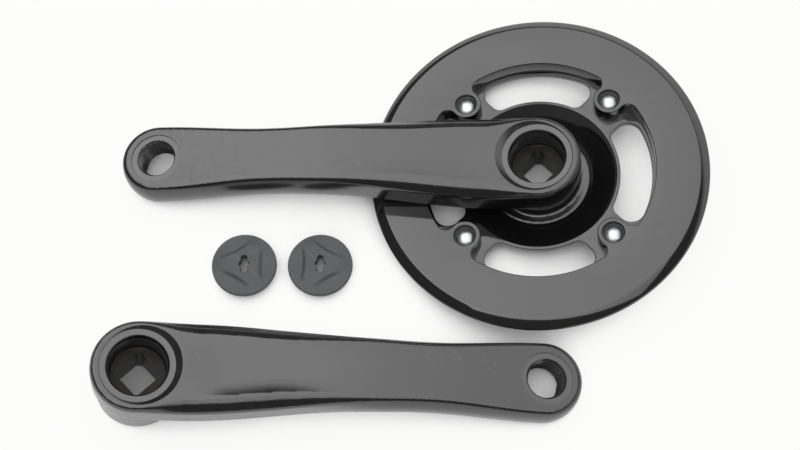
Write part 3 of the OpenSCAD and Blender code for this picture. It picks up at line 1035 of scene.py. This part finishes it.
def chain_guard():
    """The moulded ring: rim, opening with its four tabs, and a recess in each tab."""
    shape = Shape()
    lip_top = GUARD_FRONT - Guard.rim_drop
    lip_foot = lip_top - Guard.lip_height
    back = GUARD_FRONT - Guard.wall
    wall = Guard.window_radius + Guard.window_wall
    rim = []
    for radius, height, steps in (
            (Guard.face_radius, GUARD_FRONT, Guard.brow), (Guard.radius, lip_top, Guard.lip_top),
            (Guard.radius, lip_foot, Guard.lip_foot),
            (Guard.radius - Guard.wall, lip_foot, Guard.lip_inside),
            (Guard.face_radius - Guard.face_inset, back, ((0, 0),)),
            (wall, back, Guard.wall_root), (wall, PLATE_FRONT, Guard.wall_foot)):
        rim += [(radius + out, height + up) for out, up in steps]
    rings = lathe(shape, rim, 288)
    fillet = round_over(Guard.edge_round)
    walls = [guard_opening(inset, GUARD_FRONT - drop) for inset, drop in fillet]
    walls += [guard_opening(out, PLATE_FRONT + up) for out, up in Guard.opening_foot]
    inner = shape.tube(walls)
    recess_floor = GUARD_FRONT - Rivet.recess_depth
    recess = [(Rivet.recess_radius + inset, GUARD_FRONT - drop)
              for inset, drop in round_over(Rivet.recess_round, 3)]
    recess += [(Rivet.recess_radius, recess_floor + Rivet.recess_fillet),
               (Rivet.recess_radius - Rivet.recess_fillet, recess_floor),
               (Rivet.hole_radius, recess_floor), (Rivet.hole_radius, PLATE_FRONT)]
    recesses, holes = [], []
    for k in range(4):
        made = shape.tube([at_rivets(circle(radius, z, 40))[k] for radius, z in recess])
        recesses.append(made[0])
        holes.append(made[-1])
    shape.sheet([rings[0], inner[0]] + recesses)
    shape.sheet([rings[-1], inner[-1]] + holes)
    guard = shape.mesh("chain_guard_finished", DRIVE, [PLASTIC])
    shade(guard, 40)
    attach(guard, "drive_assembly")
    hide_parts("chain_guard")


# ---------------------------------------------------------------- chainring

def plate_window(offset, z):
    """Outline of one plate window on +X, moved outwards from it by offset."""
    outer_reach = Plate.window_radius - Plate.outer_corner
    inner_reach = Plate.disc_radius + Plate.inner_corner
    outer_angle = 45 - degrees(asin((Plate.arm_half_width + Plate.outer_corner) / outer_reach))
    inner_angle = 45 - degrees(asin((Plate.arm_half_width + Plate.inner_corner) / inner_reach))
    outer = polar(outer_reach, outer_angle)
    inner = polar(inner_reach, inner_angle)
    half = arc((0, 0), Plate.window_radius + offset, 0, outer_angle, 14)[:-1]
    half += arc(outer, Plate.outer_corner + offset, outer_angle, 135, 10)
    half += arc(inner, Plate.inner_corner + offset, 135, 180 + inner_angle, 9)[:-1]
    half += arc((0, 0), Plate.disc_radius - offset, inner_angle, 0, 10)
    mirrored = [(x, -y) for x, y in half[-2:0:-1]]
    return [(x, y, z) for x, y in half + mirrored]


def toothed_outline(inset, z):
    """Outline of the teeth: round seats for the chain's rollers, flanks and short tips."""
    pitch = 360 / Plate.tooth_count
    seat = Plate.roller_radius + inset
    tip = TIP_RADIUS - inset
    outline = []
    for k in range(Plate.tooth_count):
        middle = k * pitch
        centre = polar(PITCH_RADIUS, middle)
        back = middle + 180
        gullet = arc(centre, seat, back + Plate.gullet_swing, back - Plate.gullet_swing, 10)
        shoulder = pitch / 2 - Plate.tip_half_angle
        outline += arc((0, 0), tip, middle - pitch / 2, middle - shoulder, 2)[:-1]
        outline += [polar(tip, middle - shoulder)] + gullet + [polar(tip, middle + shoulder)]
    return [(x, y, z) for x, y in outline]


def chainring():
    """The stamped plate: teeth, four windows, rivet holes and a pressed dish."""
    shape = Shape()
    top, low = PLATE_FRONT, Plate.height
    rounding = round_over(Plate.edge_round, 3)
    edge = [toothed_outline(inset, top - drop) for inset, drop in Plate.tooth_bevel]
    edge += [toothed_outline(inset, low + drop) for inset, drop in reversed(Plate.tooth_bevel)]
    outer = shape.tube(edge)
    front_holes, back_holes = [], []
    for k in range(4):
        turn = Matrix.Rotation(radians(90 * k), 4, "Z")
        loops = [plate_window(inset, top - drop) for inset, drop in rounding]
        loops += [plate_window(inset, low + drop) for inset, drop in reversed(rounding)]
        made = shape.tube([[turn @ Vector(p) for p in ring] for ring in loops])
        front_holes.append(made[0])
        back_holes.append(made[-1])
    for hole in at_rivets(circle(Rivet.hole_radius, 0, 24)):
        made = shape.tube([[(x, y, top) for x, y, _ in hole], [(x, y, low) for x, y, _ in hole]])
        front_holes.append(made[0])
        back_holes.append(made[1])
    fall = []
    for i in range(Plate.dish_steps + 1):
        share = i / Plate.dish_steps
        radius = mix(Plate.dish_radius + Plate.dish_brow, Plate.dish_floor_radius, share)
        fall.append((radius, mix(share, smooth(share), Plate.dish_softness)))
    front = [(radius, top - Plate.dish_depth * drop) for radius, drop in fall]
    front += [(Plate.hub_radius, DISH_FLOOR)]
    back = [(radius + Plate.back_offset, low - Plate.dish_depth * drop) for radius, drop in fall]
    back += [(Plate.hub_radius, DISH_FLOOR - Plate.thickness)]
    # the front of the dish takes the weaker-reflecting paint: painted shade
    shape.slot = 1
    rings_front = lathe(shape, front, 240)
    shape.slot = 0
    rings_back = lathe(shape, back, 240)
    shape.skin(rings_front[-1], rings_back[-1])
    shape.sheet([outer[0], rings_front[0]] + front_holes)
    shape.sheet([outer[-1], rings_back[0]] + back_holes)
    plate = shape.mesh("chainring_finished", DRIVE, [PAINT, DISH_SHADE_COAT])
    shade(plate, 35)
    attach(plate, "drive_assembly")
    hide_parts("chainring")


# ---------------------------------------------------------------- rivets, with Geometry Nodes

def rivet_tree():
    """One rivet set round a circle: rivet, count, circle radius, turn and material are inputs."""
    tree, keys = open_tree("rivet_circle", Rivet="Object", Count="Int", Radius="Float",
                           Turn="Float", Material="Material")
    new, link = tree.nodes.new, tree.links.new
    given = new("NodeGroupInput").outputs
    places = new("GeometryNodeMeshCircle")
    link(given["Count"], places.inputs["Vertices"])
    link(given["Radius"], places.inputs["Radius"])
    turn = new("ShaderNodeCombineXYZ")
    link(given["Turn"], turn.inputs["Z"])
    turned = new("GeometryNodeTransform")
    link(places.outputs["Mesh"], turned.inputs["Geometry"])
    link(turn.outputs["Vector"], turned.inputs["Rotation"])
    rivet = new("GeometryNodeObjectInfo")
    link(given["Rivet"], rivet.inputs["Object"])
    set_round = new("GeometryNodeInstanceOnPoints")
    link(turned.outputs["Geometry"], set_round.inputs["Points"])
    link(rivet.outputs["Geometry"], set_round.inputs["Instance"])
    close_tree(tree, set_round.outputs["Instances"], given["Material"])
    return tree, keys


def dome(base, height, steps=10):
    """(radius, z) pairs of a low dome on z = 0, from its rim to its top."""
    ball = (base * base + height * height) / (2 * height)
    spread = asin(min(1.0, base / ball))
    angles = [spread * (1 - i / steps) for i in range(steps)]
    side = [(ball * sin(angle), height - ball + ball * cos(angle)) for angle in angles]
    return side + [(Rivet.tip_radius, height)]


def rivets():
    """All four rivets in one mesh: tail, shank and domed head."""
    head_seat = GUARD_FRONT - Rivet.recess_depth
    base = head_seat + Rivet.dome_base
    tail = dome(Rivet.head_radius - Rivet.tail_inset, Rivet.tail_height)
    crown = dome(Rivet.head_radius - 0.05, Rivet.head_height - Rivet.dome_base)[1:-1]
    profile = [(radius, Plate.height - z) for radius, z in reversed(tail)]
    profile += [(Rivet.shank_radius, Plate.height), (Rivet.shank_radius, head_seat)]
    profile += [(Rivet.head_radius + out, head_seat + up) for out, up in Rivet.head_wall]
    profile += [(radius - 0.1, base + z) for radius, z in crown]
    profile += [(Rivet.tip_radius, head_seat + Rivet.head_height)]
    shape = Shape()
    lathe(shape, profile, 48, close_start=True, close_end=True)
    one = shape.mesh("one_rivet", Matrix.Scale(1 / MM, 4), [STEEL])
    shade(one, 40)
    tree, keys = rivet_tree()
    name = "guard_rivets_finished"
    obj = bpy.data.objects.new(name, bpy.data.meshes.new(name))
    bpy.context.scene.collection.objects.link(obj)
    nodes = obj.modifiers.new("rivet_circle", "NODES")
    nodes.node_group = tree
    for label, value in (("Rivet", one), ("Count", 4), ("Radius", Rivet.circle_radius),
                         ("Turn", radians(45)), ("Material", STEEL)):
        nodes[keys[label]] = value
    apply_modifiers(obj)
    bpy.data.objects.remove(one)
    obj.data.transform(Matrix.Scale(MM, 4) @ DRIVE)
    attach(obj, "drive_assembly")
    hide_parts("guard_rivet_1", "guard_rivet_2", "guard_rivet_3", "guard_rivet_4")


# ---------------------------------------------------------------- dust caps

def key_reach(angle):
    """Distance from the middle to the key hole's edge: six sides and two round notches."""
    reach = Cap.key_width / 2 / cos(angle % (pi / 3) - pi / 6)
    aside = Cap.notch_distance * cos(angle)
    if abs(aside) < Cap.notch_radius:
        notch = Cap.notch_distance * abs(sin(angle)) + sqrt(Cap.notch_radius ** 2 - aside ** 2)
        reach = max(reach, notch)
    return reach


def cap_height(x, y):
    """Height of the cap's top above its flange: a low crown with three scooped sides."""
    edge = (sqrt(x * x + y * y) - Cap.crown_radius) / (Cap.radius - Cap.crown_radius)
    height = Cap.boss_height - Cap.crown_drop * smooth(edge)
    away = Cap.hollow_distance + Cap.hollow_radius
    for k in range(3):
        middle = radians(120 * k + 60)
        ahead = x * cos(middle) + y * sin(middle)
        aside = y * cos(middle) - x * sin(middle)
        inside = Cap.hollow_radius - sqrt((away - ahead) ** 2 + aside ** 2) if ahead > 0 else 0
        scoop = max(0, 1 - (aside / Cap.hollow_reach) ** 2) * smooth(inside / Cap.hollow_wall)
        height = mix(height, min(height, Cap.scoop_floor), scoop)
    return height


def dust_cap(name, node, body):
    """A cap at its node's place: threaded skirt, brim, scooped crown and key hole."""
    low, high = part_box(node)
    middle = [(a + b) / 2 / MM for a, b in zip(low, high)]
    turn = pi if node == "drive_dust_cap" else 0.0
    spot = Matrix.Translation((middle[0], middle[1], low[2] / MM))
    place = spot @ Matrix.Rotation(turn, 4, "Z")
    flange = Cap.skirt_length + Cap.flange_thickness
    under = flange - Cap.roof_thickness
    bore = Cap.skirt_radius - Cap.skirt_wall
    root = Cap.skirt_radius - Cap.thread_depth
    brim = Cap.radius - Cap.brim_round
    profile = [(bore, under), (bore, 0.3), (bore + 0.3, 0), (Cap.skirt_radius - 0.8, 0),
               (root, 0.5), (root, Cap.skirt_length), (brim, Cap.skirt_length),
               (Cap.radius - 0.1, Cap.skirt_length + 0.12), (Cap.radius, Cap.skirt_length + 0.4),
               (Cap.radius, flange - 0.5), (Cap.radius - 0.1, flange - 0.15)]
    angles = [2 * pi * i / Cap.points for i in range(Cap.points)]
    loops = [circle(radius, z, Cap.points) for radius, z in profile]
    for i in range(Cap.rings + 1):
        ring = []
        for angle in angles:
            reach = mix(brim, key_reach(angle) + Cap.key_round, i / Cap.rings)
            x, y = reach * cos(angle), reach * sin(angle)
            ring.append((x, y, flange + cap_height(x, y)))
        loops.append(ring)
    for clearance, drop in Cap.key_edge:
        reaches = [key_reach(angle) + clearance for angle in angles]
        loops.append([(reach * cos(angle), reach * sin(angle), flange + Cap.boss_height + drop)
                      for reach, angle in zip(reaches, angles)])
    loops.append([(x, y, under) for x, y, _ in loops[-1]])
    shape = Shape()
    rings = shape.tube(loops)
    shape.sheet([rings[0], rings[-1]])
    cap = shape.mesh(name, place, [GRAIN])
    shade(cap, 40)
    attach(cap, body)
    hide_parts(node)
    ridge = thread(name + "_ridge", place, Cap.ridge_start, root, Bore.puller_pitch,
                   Cap.skirt_length - Cap.ridge_loss, Cap.thread_depth, GRAIN)
    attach(ridge, body)


# ---------------------------------------------------------------- table, lamps and camera

def seen_plainly(nodes, link):
    """1 where the camera sees the surface directly, in a mirror image or through glass."""
    path = nodes.new("ShaderNodeLightPath").outputs
    value = path["Is Camera Ray"]
    for name in ("Is Glossy Ray", "Is Transmission Ray"):
        value = maths(nodes, link, "MAXIMUM", value, path[name])
    return value


def table():
    """White paper. Part of what is seen of it is a painted white glow, so that shadows stay pale;
    ambient occlusion fades the glow out near the pieces and inside holes.
    """
    bpy.ops.mesh.primitive_plane_add(size=Studio.table_size, location=(0, 0, SURFACE * MM))
    sheet = bpy.context.object
    sheet.name = "table"
    paper = Finish("table_white", Studio.paper_colour, 0.6)
    paper.shader.inputs["Specular IOR Level"].default_value = 0.15
    nodes, link = paper.nodes, paper.link
    white = nodes.new("ShaderNodeEmission")
    white.inputs["Color"].default_value = Studio.glow_white
    open_air = nodes.new("ShaderNodeAmbientOcclusion")
    open_air.inputs["Distance"].default_value = Studio.shade_reach
    glow_amount = paper.spread(open_air.outputs["AO"], Studio.shade_from, Studio.shade_to,
                       0, Studio.glow_share)
    both = nodes.new("ShaderNodeMixShader")
    link(maths(nodes, link, "MULTIPLY", glow_amount, seen_plainly(nodes, link)), both.inputs[0])
    link(paper.shader.outputs[0], both.inputs[1])
    link(white.outputs[0], both.inputs[2])
    link(both.outputs[0], nodes["Material Output"].inputs["Surface"])
    sheet.data.materials.append(paper.material)


def room():
    """A dim room with a white backdrop low down."""
    world = bpy.data.worlds.new("room")
    world.use_nodes = True
    bpy.context.scene.world = world
    nodes, link = world.node_tree.nodes, world.node_tree.links.new
    way = nodes.new("ShaderNodeVectorMath")
    way.operation = "DOT_PRODUCT"
    way.inputs[1].default_value = Studio.backdrop_way
    link(nodes.new("ShaderNodeTexCoord").outputs["Generated"], way.inputs[0])
    low = ramp(nodes, link, way.outputs["Value"], Studio.backdrop_full, Studio.backdrop_gone,
               Studio.backdrop_level, 0)
    strength = maths(nodes, link, "MULTIPLY_ADD", low, seen_plainly(nodes, link),
                     Studio.room_level)
    link(strength, nodes["Background"].inputs["Strength"])
    nodes["Background"].inputs["Color"].default_value = (1, 1, 1, 1)


def lamp():
    """A large soft box overhead, weaker to the right and fading out at the back."""
    light = bpy.data.lights.new("soft_box", "AREA")
    light.shape = "RECTANGLE"
    light.size, light.size_y = Studio.lamp_size
    light.energy = pi * light.size * light.size_y * Studio.lamp_level
    light.use_nodes = True
    nodes, link = light.node_tree.nodes, light.node_tree.links.new
    across = nodes.new("ShaderNodeSeparateXYZ")
    link(nodes.new("ShaderNodeNewGeometry").outputs["Parametric"], across.inputs[0])
    fall = ramp(nodes, link, across.outputs["X"], 0, 1, Studio.lamp_left, Studio.lamp_right)
    fade = ramp(nodes, link, across.outputs["Y"], Studio.lamp_fade_start, 1, 1, 0)
    level = maths(nodes, link, "MULTIPLY", fall, fade)
    link(level, nodes["Emission"].inputs["Strength"])
    box = bpy.data.objects.new("soft_box", light)
    box.location = Studio.lamp_place
    bpy.context.scene.collection.objects.link(box)


def camera():
    data = bpy.data.cameras.new("camera")
    data.lens = Studio.lens
    data.sensor_width = Studio.film_width
    data.clip_start = Studio.near
    obj = bpy.data.objects.new("camera", data)
    obj.location = Studio.camera_place
    obj.rotation_euler = (radians(Studio.camera_tilt), 0, 0)
    bpy.context.scene.collection.objects.link(obj)
    bpy.context.scene.camera = obj


camera()
table()
room()
lamp()
drive_crank()
left_crank()
chain_guard()
chainring()
rivets()
dust_cap("drive_dust_cap_finished", "drive_dust_cap", "drive_cap")
dust_cap("left_dust_cap_finished", "left_dust_cap", "left_cap")

bpy.context.scene.view_settings.view_transform = "Standard"
